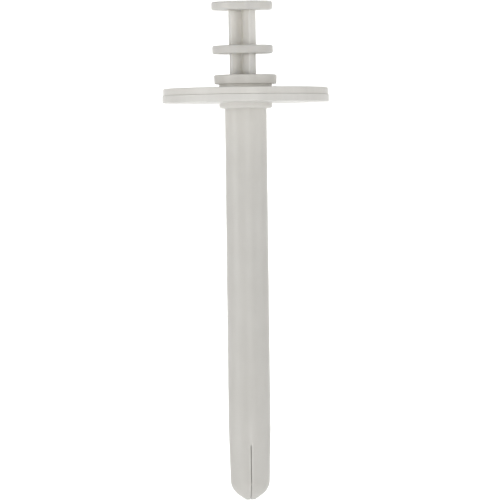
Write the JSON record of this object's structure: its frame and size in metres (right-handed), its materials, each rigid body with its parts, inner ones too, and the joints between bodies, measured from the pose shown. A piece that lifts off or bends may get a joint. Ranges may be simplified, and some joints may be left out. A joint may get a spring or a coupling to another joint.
{
  "type": "wall anchor",
  "caption": "Long plastic wall anchor: tubular sleeve with a split rounded tip and a round bearing plate, capped by a guide plate, with a push-in ribbed drive pin.",
  "frame": {"origin": "on the sleeve's axis, in the face of the lower plate that bears on the wall", "axes": "+Z along the sleeve, out of the wall towards the pin's head; one tip slit is 3.5 degrees from -Y, towards +X"},
  "size_m": [0.04, 0.04, 0.1196],
  "materials": {
    "sleeve_plastic": "milky translucent natural polypropylene, satin moulded skin",
    "cap_plastic": "milky translucent natural polypropylene, satin moulded skin",
    "pin_plastic": "milky translucent natural polypropylene, satin moulded skin"
  },
  "bodies": {
    "sleeve": {"anchor_sleeve": "sleeve_plastic", "guide_cap": "cap_plastic"},
    "pin": {"drive_pin": "pin_plastic"},
    "leg_front_right_body": {"leg_front_right": "sleeve_plastic"},
    "leg_back_right_body": {"leg_back_right": "sleeve_plastic"},
    "leg_back_left_body": {"leg_back_left": "sleeve_plastic"},
    "leg_front_left_body": {"leg_front_left": "sleeve_plastic"}
  },
  "joints": [
    {"name": "pin_slide", "type": "slide", "parent": "sleeve", "child": "pin", "axis": [0.0058, 0, -1], "range_m": [0, 0.0048]},
    {"name": "leg_front_right_hinge", "type": "hinge", "parent": "sleeve", "child": "leg_front_right_body", "pos_m": [0.00352, -0.00311, -0.0822], "axis": [-0.6626, -0.749, 0], "range_deg": [0, 18]},
    {"name": "leg_back_right_hinge", "type": "hinge", "parent": "sleeve", "child": "leg_back_right_body", "pos_m": [0.00311, 0.00352, -0.0822], "axis": [0.749, -0.6626, 0], "range_deg": [0, 18]},
    {"name": "leg_back_left_hinge", "type": "hinge", "parent": "sleeve", "child": "leg_back_left_body", "pos_m": [-0.00352, 0.00311, -0.0822], "axis": [0.6626, 0.749, 0], "range_deg": [0, 18]},
    {"name": "leg_front_left_hinge", "type": "hinge", "parent": "sleeve", "child": "leg_front_left_body", "pos_m": [-0.00311, -0.00352, -0.0822], "axis": [-0.749, 0.6626, 0], "range_deg": [0, 18]}
  ],
  "couplings": [
    {"joint": "leg_front_right_hinge", "follows": "pin_slide", "rad_per_m": 64.577},
    {"joint": "leg_back_right_hinge", "follows": "pin_slide", "rad_per_m": 64.577},
    {"joint": "leg_back_left_hinge", "follows": "pin_slide", "rad_per_m": 64.577},
    {"joint": "leg_front_left_hinge", "follows": "pin_slide", "rad_per_m": 64.577}
  ]
}
